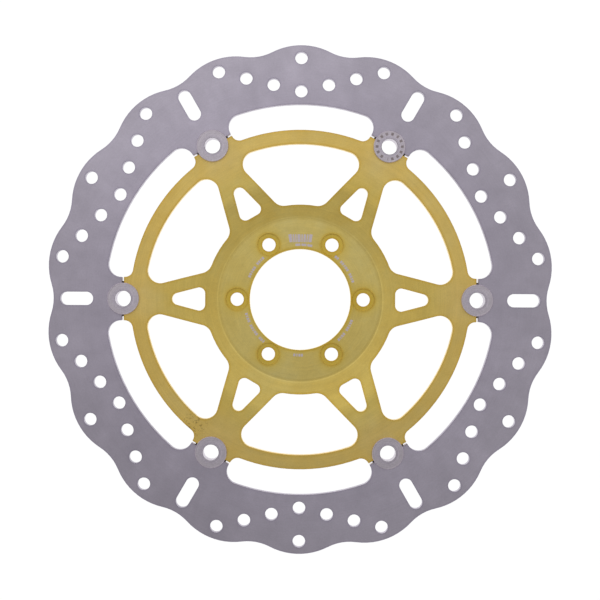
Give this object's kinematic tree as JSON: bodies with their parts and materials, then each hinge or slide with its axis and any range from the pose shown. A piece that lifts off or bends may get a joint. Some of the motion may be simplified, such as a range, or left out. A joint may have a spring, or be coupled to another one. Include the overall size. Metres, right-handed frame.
{
  "type": "floating brake disc",
  "caption": "Floating front brake disc: a wave-edged drilled steel friction ring carried on a dished aluminium spider by hollow drive buttons.",
  "frame": {"origin": "centre of the hub's rear mounting face, on the wheel axle line", "axes": "+Z along the axle towards the outer (visible) face, +X through the first drive button, +Y completes a right-handed frame"},
  "size_m": [0.3162, 0.32, 0.013],
  "materials": {
    "carrier_gold": "gold anodised, finely turned",
    "rotor_steel": "ground stainless steel, satin",
    "button_steel": "turned stainless steel",
    "spring_steel": "bright spring steel",
    "dark_steel": "blackened steel",
    "clip_steel": "phosphated spring steel"
  },
  "bodies": {
    "carrier": {"carrier": "carrier_gold", "wave_spring_1": "spring_steel", "wave_spring_2": "spring_steel", "wave_spring_3": "spring_steel", "wave_spring_4": "spring_steel", "wave_spring_5": "spring_steel", "wave_spring_6": "spring_steel"},
    "rotor": {"rotor": "rotor_steel"},
    "drive_1": {"button_1": "button_steel", "thrust_washer_1": "dark_steel", "retaining_clip_1": "clip_steel"},
    "drive_2": {"button_2": "button_steel", "thrust_washer_2": "dark_steel", "retaining_clip_2": "clip_steel"},
    "drive_3": {"button_3": "button_steel", "thrust_washer_3": "dark_steel", "retaining_clip_3": "clip_steel"},
    "drive_4": {"button_4": "button_steel", "thrust_washer_4": "dark_steel", "retaining_clip_4": "clip_steel"},
    "drive_5": {"button_5": "button_steel", "thrust_washer_5": "dark_steel", "retaining_clip_5": "clip_steel"},
    "drive_6": {"button_6": "button_steel", "thrust_washer_6": "dark_steel", "retaining_clip_6": "clip_steel"}
  },
  "joints": [
    {"name": "rotor_float", "type": "slide", "parent": "carrier", "child": "rotor", "axis": [0, 0, -1], "range_m": [0, 0.0004], "stiffness_N_per_m": 120000, "springref_m": -0.0004, "deforming": ["wave_spring_1", "wave_spring_2", "wave_spring_3", "wave_spring_4", "wave_spring_5", "wave_spring_6"]},
    {"name": "button_1_turn", "type": "hinge", "parent": "carrier", "child": "drive_1", "pos_m": [0.1112, 0, 0.0085], "axis": [0, 0, 1], "continuous": true},
    {"name": "button_2_turn", "type": "hinge", "parent": "carrier", "child": "drive_2", "pos_m": [0.0556, 0.0963, 0.0085], "axis": [0, 0, 1], "continuous": true},
    {"name": "button_3_turn", "type": "hinge", "parent": "carrier", "child": "drive_3", "pos_m": [-0.0556, 0.0963, 0.0085], "axis": [0, 0, 1], "continuous": true},
    {"name": "button_4_turn", "type": "hinge", "parent": "carrier", "child": "drive_4", "pos_m": [-0.1112, 0, 0.0085], "axis": [0, 0, 1], "continuous": true},
    {"name": "button_5_turn", "type": "hinge", "parent": "carrier", "child": "drive_5", "pos_m": [-0.0556, -0.0963, 0.0085], "axis": [0, 0, 1], "continuous": true},
    {"name": "button_6_turn", "type": "hinge", "parent": "carrier", "child": "drive_6", "pos_m": [0.0556, -0.0963, 0.0085], "axis": [0, 0, 1], "continuous": true}
  ]
}
